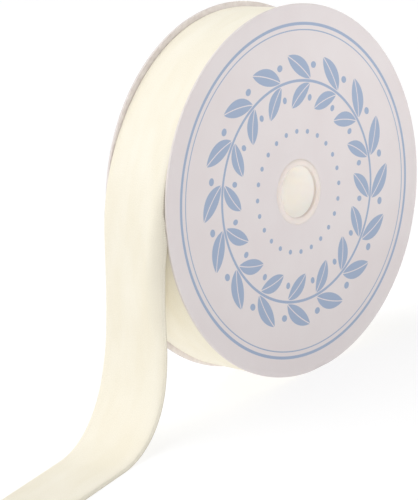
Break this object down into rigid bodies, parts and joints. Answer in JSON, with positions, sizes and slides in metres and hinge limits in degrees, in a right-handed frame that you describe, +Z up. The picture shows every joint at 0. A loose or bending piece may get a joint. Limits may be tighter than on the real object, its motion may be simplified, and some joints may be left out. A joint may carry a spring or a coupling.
{
  "type": "spool of velvet ribbon",
  "caption": "Velvet ribbon wound between two thin card discs on a plastic hub tube, its free end hanging off the roll and bending onto the surface.",
  "frame": {"origin": "middle of the small flat foot under the front disc, on the surface that the spool stands on", "axes": "+Z up; -Y out of the front disc along the spool's axis; -X towards the free end"},
  "size_m": [0.2053, 0.04, 0.1227],
  "materials": {
    "card": "smooth coated card, printed on the front",
    "hub_plastic": "smooth moulded plastic",
    "velvet": "short dense velvet pile"
  },
  "bodies": {
    "root": {"front_disc": "card", "back_disc": "card", "hub": "hub_plastic", "wound_ribbon": "velvet", "free_end": "velvet"}
  },
  "joints": []
}
